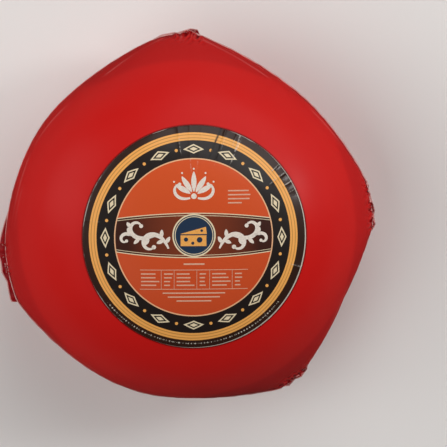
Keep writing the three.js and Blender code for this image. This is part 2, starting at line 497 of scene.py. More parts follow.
out = radius * unevenness(angle) * growth
level = WAIST_HEIGHT + rise * growth
place = np.stack([out * np.cos(angle), out * np.sin(angle), level], axis=-1)
clear_of_base = smooth_step(0, DENT_CLEARANCE, level)
dent = DENT_DEPTH * ripple(place, DENT_WIDTH, seed=11) * clear_of_base
pucker = PUCKER_DEPTH * ripple(place * (1, 1, PUCKER_STRETCH), PUCKER_WIDTH, seed=4)
pucker *= np.exp(-(rise / PUCKER_FADE) ** 2)
crumpled = np.zeros_like(angle)
for ear in EARS:
    in_corner = presence(ear["crumpled"], angle, CRUMPLE_SIDE_FADE)
    crumpled = np.maximum(crumpled, ear["crumple"] * in_corner)
crumpled *= np.exp(-(rise / CRUMPLE_FADE) ** 2)
creased = 1 - 2 * np.abs(ripple(place * (1, 1, PUCKER_STRETCH), CRUMPLE_WIDTH, seed=9))  # 1 on a sharp crease
fold = long_folds(angle, waist_at(angle) - out) * smooth_step(0, 3 * MM, rise) * (1 - fin_share)
fold *= smooth_step(-0.9, 0.7, ripple(place, FOLD_CHANGE_WIDTH, seed=5))
out += fin_share * fin_width * (1 + FIN_UNEVENNESS * ripple(place, FIN_UNEVEN_WIDTH, seed=6))
out += dent + PUCKER_ON_BALL * pucker * (1 - fin_share) + FOLD_HEIGHT * fold
out += CRUMPLE_DEPTH * crumpled * creased * (1 - fin_share)
level += DENT_RISE * dent * smooth_step(0, DENT_RISE_HEIGHT, rise) + pucker * fin_share
place = np.stack([out * np.cos(angle), out * np.sin(angle), level], axis=-1)

film = make_piece("film_wrapped_ball", [skin(place, (0, 0, 0), (0, 0, BALL_HEIGHT))])
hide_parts("wrapped_ball")

# %% What the film's material reads: painted edge highlight, deep red and shade, folds and glints
def with_ends(values):
    """One number for each point of a skin: its grid's values, and 0 for the point that closes each end."""
    return np.concatenate([[0], values.ravel(), [0]])


EAR_FOOT = 101 * MM  # how far from the axis the film has left the ball and thickens into an ear
EAR_FOOT_WIDTH = 3 * MM
# How much deep red shows on the ears, partly as deeper film and partly as painted shade, how much painted
# shade beside the cut edge and between the creases of crumpled film, and how much painted glint on those
# creases, each from 0 to 1.
EAR_DEEPNESS = 0.22
EDGE_DEEPNESS = 0.9
CRUMPLE_DEEPNESS = 0.85
CRUMPLE_GLINT = 0.9
DEEP_PATCH_WIDTH = 30 * MM  # how wide the deep and the plain stretches beside the cut edge are

# A thin line of painted shadow just inside the fin's pale edge, in patches.
beside_edge = smooth_step(0.05, 0.15, fin_share) * (1 - smooth_step(0.35, 0.5, fin_share))
beside_edge *= smooth_step(-0.5, 0.5, ripple(place, DEEP_PATCH_WIDTH, seed=2))
drawn_out = smooth_step(0.001, 0.006, growth - 1)  # the share by which the ear widens the ball
drawn_out *= smooth_step(EAR_FOOT - EAR_FOOT_WIDTH, EAR_FOOT, out)
# Deep red: painted shade in the pleats' troughs, beside the fin's edge and between crumpled creases, and on
# the ears partly deeper film and partly painted shade.
deep = np.maximum(smooth_step(0.25, 0.7, troughs), EDGE_DEEPNESS * beside_edge)
deep = np.maximum(deep, EAR_DEEPNESS * drawn_out)
deep = np.maximum(deep, CRUMPLE_DEEPNESS * crumpled * smooth_step(0.1, -0.9, creased))
# White: whitish long folds, and painted glints on the crests of crumpled film.
white = np.maximum(fold, CRUMPLE_GLINT * crumpled * smooth_step(0.7, 1.0, creased))
# The fin's outer edge is painted pale, as a highlight that the thin edge catches.
paint(film, "painted_edge_highlight", with_ends(smooth_step(0.4, 0.6, fin_share)))
paint(film, "deep_red_and_shade", with_ends(deep))
paint(film, "fold_white_and_glint", with_ends(white))
print("deep colour covers", round(100 * float((deep > 0.5).mean()), 1), "% of the film's points")

# %% [markdown]
# At each corner the film that is left over stands out as a flap, two layers welded flat on each other. Three
# of the flaps are crumpled, and the second one is smoother and cut off square. On each sit narrow lobes of
# gathered film, which leave the ear side by side, each with its own tilt, twist and length. Sculpting could
# give such a knot of folds, but a sheet and some lobes drawn from a fixed seed look as crumpled at the size
# that they show, and each of them is a closed thin skin.

# %% A flap, and a lobe of gathered film
TAB_SUNK = 3.0 * MM  # how far inside the ear flaps and lobes start
FILM_HALF = 0.14 * MM
FLAP_DROP = 0.4 * MM  # how far under the fin's middle a flap leaves the ear
DROOP_LENGTH = 8 * MM
FLAP_DROOP = 2.0 * MM  # how far the edge of a flap of that length hangs down
FLAP_WAVE = 0.9 * MM
FLAP_WAVE_WIDTH = 3.5 * MM
FLAP_COLUMNS = 12
FLAP_CROWDING = 0.7  # under 1, a flap's columns stand closer together near its edge
FLAP_STEP = 0.2  # degrees from one row of a flap to the next
EDGE_HIGHLIGHT_WIDTH = 0.65 * MM
LOBE_ROWS = 7
LOBE_COLUMNS = 6
LOBE_YAW = 22  # degrees that a lobe typically turns sideways from straight out
LOBE_PITCH = 16  # degrees that it typically tilts up or down
LOBE_ROLL = 70  # degrees that it is twisted at most
LOBE_REACH = (0.3, 0.75)  # how far out it goes, as a share of the tab's rise there
LOBE_WIDTHS = (1.4, 2.8)  # in millimetres
LOBE_FOLDS = (0.2, 0.45)  # depth of the fold along its middle, as a share of its width
LOBE_LEVELS = (-0.2, 1.2)  # in millimetres above the fin's middle
LOBE_CRUMPLE = 0.35 * MM
LOBE_CRUMPLE_WIDTH = 2.5 * MM


def thin_skin(middle, normal, across):
    """A closed thin skin round a sheet, from its middle surface and normal, with some columns across it."""
    loop = np.concatenate([np.arange(across), np.arange(across)[::-1]])
    sides = np.concatenate([np.ones(across), -np.ones(across)])
    grid = middle[:, loop] + normal[:, loop] * (sides * FILM_HALF)[:, None]
    return skin(grid, grid[0].mean(axis=0), grid[-1].mean(axis=0))


def height_of_line(points, angle):
    """The height at an angle of a line through points of angle and height, and 0 outside of it."""
    places, heights = np.array(points, float).T
    return np.interp(turn_between(angle, places[0] * DEGREE) / DEGREE, places - places[0], heights)


def flap(ear):
    """A corner's flap, with its painted edge highlight and how deep in colour each point is, from two layers
    of film, painted shade and lighter painted crests.
    """
    bends = [degrees for degrees, _ in ear["tab"]]
    rows = np.concatenate([np.arange(bends[0], bends[-1], FLAP_STEP), bends])
    angle = np.unique(np.round(rows, 3)) * DEGREE
    length = (TAB_SUNK + FOLD_WIDTH + height_of_line(ear["tab"], angle) * MM)[:, None]
    share = np.linspace(0, 1, FLAP_COLUMNS) ** FLAP_CROWDING
    out = (waist_at(angle) - TAB_SUNK)[:, None] + length * share
    droop = FLAP_DROOP * (length * share / DROOP_LENGTH) ** 2
    middle = np.stack([out * np.cos(angle)[:, None], out * np.sin(angle)[:, None],
                       WAIST_HEIGHT - FLAP_DROP - droop], axis=-1)
    wave = ear["crumple"] * ripple(middle, FLAP_WAVE_WIDTH, seed=8)
    middle[..., 2] += FLAP_WAVE * share * wave
    upward = np.broadcast_to(np.array([0.0, 0.0, 1.0]), middle.shape)
    # Its outer edge is painted pale as a highlight.
    pale = 1 - smooth_step(0.8 * EDGE_HIGHLIGHT_WIDTH, 1.2 * EDGE_HIGHLIGHT_WIDTH, length * (1 - share))
    # Deeper red on its outer part, partly two layers of film and partly painted shade, lighter where it waves
    # up.
    deep = smooth_step(0.3, 0.5, share) * (1 - 0.6 * ear["crumple"] * smooth_step(-0.2, 0.8, wave))
    both_sides = [with_ends(np.hstack([values, values[:, ::-1]])) for values in (pale, deep)]
    return thin_skin(middle, upward, FLAP_COLUMNS), *both_sides


def film_lobe(angle, rise, draw):
    """One lobe of gathered film, from inside the ear out past the fin, with a fold along its middle."""
    root = float(waist_at(np.array(angle))) - TAB_SUNK
    yaw = angle + draw.normal(0, LOBE_YAW) * DEGREE
    pitch = draw.normal(0, LOBE_PITCH) * DEGREE
    roll = draw.uniform(-LOBE_ROLL, LOBE_ROLL) * DEGREE
    ahead = np.array([math.cos(pitch) * math.cos(yaw), math.cos(pitch) * math.sin(yaw), math.sin(pitch)])
    flat_side = np.array([-math.sin(yaw), math.cos(yaw), 0])
    flat_up = np.cross(ahead, flat_side)
    side = math.cos(roll) * flat_side + math.sin(roll) * flat_up
    normal = np.cross(ahead, side)
    length = TAB_SUNK + FOLD_WIDTH + rise * draw.uniform(*LOBE_REACH)
    width = draw.uniform(*LOBE_WIDTHS) * MM
    fold_depth = width * draw.uniform(*LOBE_FOLDS)
    along = np.linspace(0, 1, LOBE_ROWS)[:, None, None]
    across = np.linspace(-1, 1, LOBE_COLUMNS)[None, :, None]
    spread = 0.7 + 0.3 * along  # a lobe is narrower at its root
    level = WAIST_HEIGHT + draw.uniform(*LOBE_LEVELS) * MM
    start = np.array([root * math.cos(angle), root * math.sin(angle), level])
    middle = start + ahead * along * length + side * across * spread * width / 2
    open_out = 1 - 0.4 * along  # its fold gets flatter towards its end
    middle = middle + normal * fold_depth * (np.abs(across) - 0.5) * open_out
    crumple = ripple(middle, LOBE_CRUMPLE_WIDTH, seed=int(draw.integers(1000)))
    middle = middle + normal * (LOBE_CRUMPLE * crumple[..., None])
    return thin_skin(middle, np.broadcast_to(normal, middle.shape), LOBE_COLUMNS)


# %% The four corners
LOBE_SCATTER = 0.3  # degrees that a lobe usually stands off its even place
LEAST_RISE = 1.0  # millimetres of tab that a lobe takes where the tab is lower

draw = np.random.default_rng(3)
lobe_share = np.concatenate([[0], np.repeat(np.linspace(0, 1, LOBE_ROWS), 2 * LOBE_COLUMNS), [1]])
for number, ear in enumerate(EARS, 1):
    sheet, pale, deep = flap(ear)
    lobes = []
    for degrees in np.linspace(*ear["crumpled"], ear["lobes"]):
        angle = (degrees + draw.normal(0, LOBE_SCATTER)) * DEGREE
        rise = max(float(height_of_line(ear["tab"], angle)), LEAST_RISE) * MM
        lobes.append(film_lobe(angle, rise, draw))
    out_share = np.tile(lobe_share, len(lobes))
    tab = make_piece(f"corner_tab_{number}", [sheet, *lobes])
    # The outer ends of flaps and lobes are painted pale as a highlight. The lobes' deeper red varies at
    # random.
    paint(tab, "painted_edge_highlight", np.concatenate([pale, smooth_step(0.86, 1.0, out_share)]))
    lobe_deep = smooth_step(0.2, 0.6, out_share) * draw.uniform(0.2, 1.0, len(out_share))
    paint(tab, "deep_red_and_shade", np.concatenate([deep, lobe_deep]))
    paint(tab, "fold_white_and_glint", np.zeros(len(pale) + len(out_share)))

# %% [markdown]
# ## The film's finish
# The bag is a multilayer shrink film, blown from soft polyolefin and dyed red. It is smooth, so it has a soft
# gloss, and it is drawn over cheese, so the gloss is broad and a little uneven. Where the film is gathered,
# several layers lie on each other and the red gets deeper. Painted shade deepens it further in the pleats'
# troughs, between crumpled creases, on the drawn-out ears and in a line beside the cut edge. Where it is
# folded hard it turns whitish, and the crests of crumpled film get painted glints. Its cut edge is painted
# pale as a highlight, and a thin ring of painted shadow runs on it along the label's edge. Light that sinks
# into the film could be followed too, but it is dyed through and lies on cheese, so a plain red surface looks
# the same.
# Such a film's IOR is near 1.5, but this one is slightly matt and shines less, so a lower one is matched to
# it. Its fine orange peel would not show, so it is drawn 2.5 mm wide.

# %% Where the label's edge runs
LABEL_MIDDLE = (LABEL_LOW + LABEL_HIGH) / 2
LABEL_RADIUS = (LABEL_HIGH.x - LABEL_LOW.x) / 2
# How wide the painted shadow beside the label's edge is.
LABEL_SHADOW_WIDTH = 1.2 * MM
print("the label is", round(2 * LABEL_RADIUS / MM, 1), "mm across")

# %% Shrink film
shrink_film, tree = new_material("red shrink film")
where = add_node(tree, "ShaderNodeTexCoord").outputs["Object"]
tint = add_node(tree, "ShaderNodeTexNoise", {"Vector": where, "Scale": 1 / (50 * MM), "Detail": 3.0})
red = add_node(tree, "ShaderNodeMix", {
    "Factor": tint.outputs["Fac"], "A": "#c81817", "B": "#d01e1a"}, data_type="RGBA")
# Deeper red where film lies in layers, and painted shade in pleats, creases, on the ears and beside the edge.
deep_red_and_shade = add_node(tree, "ShaderNodeAttribute", attribute_name="deep_red_and_shade")
deep = add_node(tree, "ShaderNodeMix", {
    "Factor": deep_red_and_shade.outputs["Fac"], "A": red.outputs["Result"], "B": "#860a12"}, data_type="RGBA")
# Whitish long folds, and painted glints on the crests of crumpled film.
fold_white_and_glint = add_node(tree, "ShaderNodeAttribute", attribute_name="fold_white_and_glint")
whitish = add_node(tree, "ShaderNodeMapRange", {"Value": fold_white_and_glint.outputs["Fac"], "To Max": 0.35})
with_folds_and_glints = add_node(tree, "ShaderNodeMix", {
    "Factor": whitish.outputs["Result"], "A": deep.outputs["Result"], "B": "#d8827e"}, data_type="RGBA")
# The cut edge's pale colour is a painted highlight.
painted_edge_highlight = add_node(tree, "ShaderNodeAttribute", attribute_name="painted_edge_highlight")
edged = add_node(tree, "ShaderNodeMix", {
    "Factor": painted_edge_highlight.outputs["Fac"], "A": with_folds_and_glints.outputs["Result"], "B": "#cf9a95"}, data_type="RGBA")
# A thin dark ring of painted shadow beside the label's raised edge.
aside = add_node(tree, "ShaderNodeVectorMath", {
    0: where, 1: (LABEL_MIDDLE.x, LABEL_MIDDLE.y, 0)}, operation="SUBTRACT")
flat_aside = add_node(tree, "ShaderNodeVectorMath", {0: aside.outputs[0], 1: (1, 1, 0)}, operation="MULTIPLY")
from_middle = add_node(tree, "ShaderNodeVectorMath", {0: flat_aside.outputs[0]}, operation="LENGTH")
label_edge_shadow = add_node(tree, "ShaderNodeMapRange", {
    "Value": from_middle.outputs["Value"], "From Min": LABEL_RADIUS, "From Max": LABEL_RADIUS + LABEL_SHADOW_WIDTH,
    "To Min": 0.85, "To Max": 0.0}, interpolation_type="SMOOTHSTEP")
film_colour = add_node(tree, "ShaderNodeMix", {
    "Factor": label_edge_shadow.outputs["Result"], "A": edged.outputs["Result"], "B": "#3a0506"}, data_type="RGBA")
haze = add_node(tree, "ShaderNodeTexNoise", {"Vector": where, "Scale": 1 / (12 * MM), "Detail": 4.0})
roughness = add_node(tree, "ShaderNodeMapRange", {
    "Value": haze.outputs["Fac"], "To Min": 0.30, "To Max": 0.44})
peel = add_node(tree, "ShaderNodeTexNoise", {"Vector": where, "Scale": 1 / (2.5 * MM), "Detail": 2.0})
relief = add_node(tree, "ShaderNodeBump", {
    "Height": peel.outputs["Fac"], "Strength": 0.05, "Distance": 0.3 * MM})
shader = add_node(tree, "ShaderNodeBsdfPrincipled", {
    "Base Color": film_colour.outputs["Result"], "Roughness": roughness.outputs["Result"],
    "Normal": relief.outputs["Normal"], "IOR": 1.25})
add_node(tree, "ShaderNodeOutputMaterial", {"Surface": shader.outputs["BSDF"]})
for piece in bpy.data.objects:
    if piece.name.startswith(("film_", "corner_")):
        wear(piece, shrink_film)
print("the red shrink film takes", len(tree.nodes), "nodes")

# %% [markdown]
# ## The label
# The label is a disc of coated paper, glued to the dome. Flat paper can't follow a dome without gathering at
# its edge, so it has short radial creases, most of them at the upper right. A disc could be shrink-wrapped
# onto the ball, but it would lie there without a crease. So every point of the sheet is put on the dome by a
# formula, and the creases are added to its height: each is a sharp ridge on a wider, lower swelling, highest
# at the rim. The edge of the sheet is rounded a little.

# %% The label's creases
LABEL_GAP = 0.3 * MM
LABEL_THICKNESS = 0.4 * MM
SWELLING = 0.4  # share of a crease's height that its wide part has
SWELLING_WIDTH = 4  # how many times wider than the sharp part it is
WANDER = 1.2 * MM  # how far a crease strays sideways from a straight radial line
WANDER_TURN = 5  # radians of its wave from the label's middle to its rim
FULLY_WHITE = 0.6  # millimetres of height from which a crest is whitened in full
# Each crease: its angle round the label, height at the rim in millimetres, half width, the share of the
# label's radius at which it starts, and the share at which its whitened crest ends. The whitening is partly
# painted glint.
CREASES = [
    (26, 0.4, 0.8, 0.90, 1.0), (31, 0.7, 0.9, 0.86, 1.0), (34.5, 1.0, 1.3, 0.80, 1.0),
    (40, 0.8, 0.8, 0.84, 1.0), (52, 0.2, 1.8, 0.90, 0.9), (65, 0.9, 1.3, 0.70, 1.0),
    (68.5, 0.8, 0.6, 0.86, 1.0), (75, 1.1, 0.8, 0.66, 0.7), (87, 0.2, 1.2, 0.58, 0.7),
    (92, 0.3, 0.9, 0.56, 0.7), (98, 0.5, 0.8, 0.70, 0.9), (128, 0.2, 1.6, 0.86, 0.9),
    (171, 0.3, 1.1, 0.84, 0.9), (214, 0.3, 1.4, 0.84, 0.9), (258, 0.2, 1.3, 0.88, 0.9),
    (311, 0.3, 1.2, 0.86, 1.0), (345, 0.4, 1.0, 0.84, 1.0),
]
# Where the paper is folded under itself, a line of painted shadow runs: from and to an angle and a share
# of the radius.
TUCK_FROM = (80, 0.72)
TUCK_TO = (76.2, 1.0)
TUCK_HALF = 0.7 * MM
TUCK_SHARPNESS = 1.6  # over 1, the line has a flat dark middle and short soft sides
print("the label has", len(CREASES), "creases and a tuck")


# %% Creases and tuck as formulas of the place on the label
def creases(u, v):
    """How far the paper stands up at a point of the label, in metres, and how near it is to a crest."""
    share = np.hypot(u, v) / LABEL_RADIUS
    angle = np.arctan2(v, u)
    height = np.zeros_like(share)
    crest = np.zeros_like(share)
    for degrees, rim_height, half_width, start, crest_end in CREASES:
        strength = smooth_step(start, 1.0, share)
        wander = WANDER * np.sin(share * WANDER_TURN + degrees)
        along_rim = turn_between(angle, degrees * DEGREE) * share * LABEL_RADIUS
        aside = np.abs(along_rim - wander) / (half_width * MM)
        sharp = np.clip(1 - aside, 0, 1)
        wide = smooth_step(0, 1, 1 - aside / SWELLING_WIDTH)
        height += rim_height * MM * strength * ((1 - SWELLING) * sharp + SWELLING * wide)
        whitened_and_glint = smooth_step(start, start + 0.08, share)
        whitened_and_glint = whitened_and_glint * (1 - smooth_step(crest_end, crest_end + 0.03, share))
        whitened_and_glint = whitened_and_glint * min(1.0, rim_height / FULLY_WHITE)
        crest = np.maximum(crest, smooth_step(0.6, 0.95, sharp) * whitened_and_glint)
    return height, crest


def tuck_shadow(u, v):
    """How near a point of the label is to the tuck's line of painted shadow, from 0 to 1."""
    share = np.hypot(u, v) / LABEL_RADIUS
    along = (share - TUCK_FROM[1]) / (TUCK_TO[1] - TUCK_FROM[1])
    angle = between((TUCK_FROM[0], TUCK_TO[0]), along) * DEGREE
    aside = np.abs(turn_between(np.arctan2(v, u), angle)) * share * LABEL_RADIUS / TUCK_HALF
    return np.clip(TUCK_SHARPNESS * (1 - aside), 0, 1) * smooth_step(0, 0.1, along)


def on_label(u, v, lift):
    """The place of a point of the label, right and up from its middle, at a lift above its glued face."""
    x = LABEL_MIDDLE.x + u
    y = LABEL_MIDDLE.y + v
    height = dome_height(np.hypot(x, y) / unevenness(np.arctan2(y, x)))
    return np.stack([x, y, height + LABEL_GAP + creases(u, v)[0] + lift], axis=-1)


# %% The label's sheet
LABEL_COLUMNS = 840
LABEL_TOP_ROWS = 110
LABEL_EDGE_ROUND = 0.15 * MM
UNDERSIDE_STEP = 12  # the hidden underside takes only every twelfth row

shares = np.linspace(0, 1, LABEL_TOP_ROWS + 1)[1:]
profile = [(LABEL_RADIUS * s - LABEL_EDGE_ROUND, LABEL_THICKNESS) for s in shares]
profile += [(LABEL_RADIUS, LABEL_THICKNESS - LABEL_EDGE_ROUND), (LABEL_RADIUS, 0.0)]
profile += [(LABEL_RADIUS * s, 0.0) for s in shares[-UNDERSIDE_STEP::-UNDERSIDE_STEP]]
profile = np.array(profile)
turn = np.arange(LABEL_COLUMNS) / LABEL_COLUMNS * 2 * math.pi
u = profile[:, :1] * np.cos(turn)
v = profile[:, :1] * np.sin(turn)
sheet = on_label(u, v, profile[:, 1:] * np.ones_like(u))
centre = np.zeros(1)
label = make_piece("label_sheet", [skin(sheet, on_label(centre, centre, LABEL_THICKNESS)[0],
                                        on_label(centre, centre, 0.0)[0])])
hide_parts("label")
paint(label, "crest", with_ends(creases(u, v)[1]))
paint(label, "tuck_shadow", with_ends(tuck_shadow(u, v)))

# %% [markdown]
# ## The label's print
# The label is offset printed and varnished: a gold ring between charcoal ones, a peach line, and an orange
# disc crossed by a brown band with a round medallion. A picture could be laid on the sheet, but these are
# fields of colour that follow from the distance to a middle. So the material paints them from the point's
# place on the label, and they stay sharp from any distance. The sheet was die cut a little off the print, as
# labels are, so all of the print has its own middle. The ornament has free outlines, which nodes draw badly,
# so it comes later, as thin shapes of ink.

# %% Where a point lies on the print
PRINT_OFF_CUT = (-0.75 * MM, 0.4 * MM)  # the print's middle from the cut sheet's middle
EDGE_BLUR = 0.08 * MM  # how sharp a printed edge is

printed_paper, tree = new_material("varnished printed paper")
place = add_node(tree, "ShaderNodeTexCoord").outputs["Object"]
cut_middle = (LABEL_MIDDLE.x, LABEL_MIDDLE.y, 0)
print_middle = (LABEL_MIDDLE.x + PRINT_OFF_CUT[0], LABEL_MIDDLE.y + PRINT_OFF_CUT[1], 0)


def flat_from(middle):
    """How far right and up of a middle a point lies, as a flat vector, and how far away, in metres."""
    offset = add_node(tree, "ShaderNodeVectorMath", {0: place, 1: middle}, operation="SUBTRACT")
    flat = add_node(tree, "ShaderNodeVectorMath", {0: offset.outputs[0], 1: (1, 1, 0)}, operation="MULTIPLY")
    away = add_node(tree, "ShaderNodeVectorMath", {0: flat.outputs[0]}, operation="LENGTH")
    return flat.outputs[0], away.outputs["Value"]


on_print, radius = flat_from(print_middle)
axes = add_node(tree, "ShaderNodeSeparateXYZ", {0: on_print})
y_over_x = {0: axes.outputs["Y"], 1: axes.outputs["X"]}
turn = add_node(tree, "ShaderNodeMath", y_over_x, operation="ARCTAN2").outputs[0]


# %% [markdown]
# One step is all that the fields need: an ink goes over what is below it wherever a distance is under a
# limit. The paper takes the ink a little unevenly, so the limit itself wavers by a tenth of a millimetre.

# %% One step of printing
INK_SPREAD = 0.12 * MM

grip = add_node(tree, "ShaderNodeTexNoise", {"Vector": place, "Scale": 1 / (0.6 * MM), "Detail": 1.0})


def printed(below, colour, distance, limit, share=1.0):
    """Prints a colour over what is below it, as much as a share says, where a distance is under a limit."""
    spread = add_node(tree, "ShaderNodeMath", {
        0: grip.outputs["Fac"], 1: INK_SPREAD, 2: distance}, operation="MULTIPLY_ADD")
    edge = limit + INK_SPREAD / 2
    cover = add_node(tree, "ShaderNodeMapRange", {
        "Value": spread.outputs[0], "To Max": share,
        "From Min": edge + EDGE_BLUR, "From Max": edge - EDGE_BLUR})
    layer = add_node(tree, "ShaderNodeMix", {
        "Factor": cover.outputs["Result"], "A": below, "B": colour}, data_type="RGBA")
    return layer.outputs["Result"]


# %% Rings and the orange disc
CHARCOAL = "#221b19"
OUTER_CHARCOAL = "#321d15"
GOLD = "#f7af5a"
CREAM = "#ecd9b4"
PEACH = "#efb78a"
BARE_PAPER = "#cfc6b8"
PRINT_RADIUS = 64.6 * MM  # about the sheet's own, so some bare paper shows where the print is off the cut
DISC_RADIUS = 45.0 * MM
GOLD_LINES = (58.9, 57.1)  # radii in millimetres of two darker lines in the gold ring
GOLD_LINE_HALF = 0.25 * MM

# The orange is painted a little lighter towards the top, as painted light from above.
height_share = add_node(tree, "ShaderNodeMapRange", {
    "Value": axes.outputs["Y"], "From Min": -DISC_RADIUS, "From Max": DISC_RADIUS})
orange = add_node(tree, "ShaderNodeMix", {
    "Factor": height_share.outputs["Result"], "A": "#c84c26", "B": "#d85424"}, data_type="RGBA")
colour = printed(BARE_PAPER, OUTER_CHARCOAL, radius, PRINT_RADIUS)
for outer, ring_colour in ((60.2, GOLD), (55.8, CHARCOAL), (45.7, PEACH)):
    colour = printed(colour, ring_colour, radius, outer * MM)
colour = printed(colour, orange.outputs["Result"], radius, DISC_RADIUS)
for line in GOLD_LINES:
    aside = add_node(tree, "ShaderNodeMath", {0: radius, 1: line * MM}, operation="SUBTRACT")
    from_line = add_node(tree, "ShaderNodeMath", {0: aside.outputs[0]}, operation="ABSOLUTE")
    colour = printed(colour, "#c98a44", from_line.outputs[0], GOLD_LINE_HALF)


# %% Lozenges and dots in the charcoal ring
def in_ring_cell(count, ring_radius, shift=0.0):
    """Where a point lies from the middle of its cell of a ring, along it and across it, in metres."""
    cell = 2 * math.pi / count
    moved = add_node(tree, "ShaderNodeMath", {0: turn, 1: shift * cell}, operation="ADD").outputs[0]
    wrapped = add_node(tree, "ShaderNodeMath", {0: moved, 1: cell / 2, 2: -cell / 2}, operation="WRAP")
    along = add_node(tree, "ShaderNodeMath", {0: wrapped.outputs[0], 1: ring_radius}, operation="MULTIPLY")
    across = add_node(tree, "ShaderNodeMath", {0: radius, 1: ring_radius}, operation="SUBTRACT")
    return add_node(tree, "ShaderNodeCombineXYZ", {0: along.outputs[0], 1: across.outputs[0]}).outputs[0]


def slanted(offset, slants):
    """The sizes of a vector's parts, each times a slant, added up: a constant sum draws a lozenge."""
    sizes = add_node(tree, "ShaderNodeVectorMath", {0: offset}, operation="ABSOLUTE")
    total = add_node(tree, "ShaderNodeVectorMath", {0: sizes.outputs[0], 1: slants}, operation="DOT_PRODUCT")
    return total.outputs["Value"]


MOTIFS = 16
MOTIF_RING = 50.9 * MM
MOTIF_HALF_LENGTH = 6.0 * MM
MOTIF_HALF_WIDTH = 2.7 * MM
DOT_RADIUS = 0.9 * MM

motif = slanted(in_ring_cell(MOTIFS, MOTIF_RING), (MOTIF_HALF_WIDTH / MOTIF_HALF_LENGTH, 1, 0))
for half_width, ink_colour in ((MOTIF_HALF_WIDTH, CREAM), (1.9 * MM, CHARCOAL), (1.1 * MM, CREAM)):
    colour = printed(colour, ink_colour, motif, half_width)
between_motifs = in_ring_cell(MOTIFS, MOTIF_RING, shift=0.5)
from_dot = add_node(tree, "ShaderNodeVectorMath", {0: between_motifs}, operation="LENGTH")
colour = printed(colour, GOLD, from_dot.outputs["Value"], DOT_RADIUS)

# %% The brown band with its medallion, across the orange disc
BAND_MIDDLE = 1.5 * MM
BAND_HALF = 13.0 * MM
BAND_PINCH = 1.6  # metres that each end is narrower, for each square metre from the middle
BAND_DARK_FROM = 38 * MM  # from this far out the brown is at its darkest
MEDALLION = (0, BAND_MIDDLE, 0)
NAVY = "#24354c"

from_medallion = add_node(tree, "ShaderNodeVectorMath", {0: on_print, 1: MEDALLION}, operation="SUBTRACT")
across_band = slanted(from_medallion.outputs[0], (0, 1, 0))
sideways = add_node(tree, "ShaderNodeMath", {0: axes.outputs["X"], 1: 2.0}, operation="POWER").outputs[0]
pinch = add_node(tree, "ShaderNodeMath", {
    0: sideways, 1: BAND_PINCH, 2: across_band}, operation="MULTIPLY_ADD").outputs[0]
ends = add_node(tree, "ShaderNodeMapRange", {"Value": sideways, "From Max": BAND_DARK_FROM ** 2})
brown = add_node(tree, "ShaderNodeMix", {
    "Factor": ends.outputs["Result"], "A": "#7a3620", "B": "#3d1e16"}, data_type="RGBA").outputs["Result"]
in_disc = add_node(tree, "ShaderNodeMath", {0: radius, 1: DISC_RADIUS}, operation="LESS_THAN").outputs[0]
for inset, ink_colour in ((0.0, CREAM), (0.5, brown), (1.4, CREAM), (1.7, brown)):
    colour = printed(colour, ink_colour, pinch, BAND_HALF - inset * MM, in_disc)
away = add_node(tree, "ShaderNodeVectorMath", {0: from_medallion.outputs[0]}, operation="LENGTH")
for outer, ink_colour in ((12.4, CREAM), (11.6, NAVY), (11.0, CREAM), (10.6, NAVY)):
    colour = printed(colour, ink_colour, away.outputs["Value"], outer * MM)

# %% Small dashes along the lower rim, as fine print
DASH_RING = 62.2 * MM
DASHES = 210
DASH_SLANTS = (0.6, 1, 0)
DASH_HALF_HEIGHT = 0.5 * MM
DASHES_BELOW = -38 * MM  # they keep to the part of the rim that is under this height on the print
DASH_GROUPING = 14.0  # how fast the noise that leaves gaps between the dashes changes along the rim

dash = slanted(in_ring_cell(DASHES, DASH_RING), DASH_SLANTS)
along_rim = add_node(tree, "ShaderNodeMath", {0: turn, 1: DASH_GROUPING}, operation="MULTIPLY")
group = add_node(tree, "ShaderNodeTexNoise", {
    "W": along_rim.outputs[0], "Detail": 1.0}, noise_dimensions="1D")
grouped = add_node(tree, "ShaderNodeMath", {0: group.outputs["Fac"], 1: 0.5}, operation="GREATER_THAN")
low = add_node(tree, "ShaderNodeMath", {0: axes.outputs["Y"], 1: DASHES_BELOW}, operation="LESS_THAN")
there = add_node(tree, "ShaderNodeMath", {0: grouped.outputs[0], 1: low.outputs[0]}, operation="MULTIPLY")
colour = printed(colour, "#c9c0b2", dash, DASH_HALF_HEIGHT, there.outputs[0])

# %% Bare paper and a painted highlight along the cut edge, whitened crests with painted glints
CUT_EDGE = 0.5 * MM

edge_noise = add_node(tree, "ShaderNodeTexNoise", {
    "Vector": place, "W": 6.2, "Scale": 1 / (16 * MM), "Detail": 3.0}, noise_dimensions="4D")
edge_width = add_node(tree, "ShaderNodeMapRange", {
    "Value": edge_noise.outputs["Fac"], "From Min": 0.52, "From Max": 0.64, "To Max": CUT_EDGE})
# The pale edge is partly bare paper and partly a painted highlight on the sheet's edge.
_, from_cut = flat_from(cut_middle)
to_edge = add_node(tree, "ShaderNodeMath", {0: LABEL_RADIUS, 1: from_cut}, operation="SUBTRACT")
pale_edge_and_highlight = add_node(tree, "ShaderNodeMath", {
    0: to_edge.outputs[0], 1: edge_width.outputs["Result"]}, operation="SUBTRACT")
colour = printed(colour, "#a39c94", pale_edge_and_highlight.outputs[0], 0.0)
# The creases' crests are painted whitish, partly as cracked coating and partly as painted glints.
crest = add_node(tree, "ShaderNodeAttribute", attribute_name="crest")
crest_noise = add_node(tree, "ShaderNodeTexNoise", {"Vector": place, "Scale": 1 / (1.5 * MM), "Detail": 3.0})
crest_patches = add_node(tree, "ShaderNodeMapRange", {
    "Value": crest_noise.outputs["Fac"], "From Min": 0.42, "From Max": 0.62, "To Max": 0.8})
crest_white_and_glint = add_node(tree, "ShaderNodeMath", {
    0: crest.outputs["Fac"], 1: crest_patches.outputs["Result"]}, operation="MULTIPLY")
whitened_and_glint = add_node(tree, "ShaderNodeMix", {
    "Factor": crest_white_and_glint.outputs[0], "A": colour, "B": "#d2cbc2"}, data_type="RGBA")
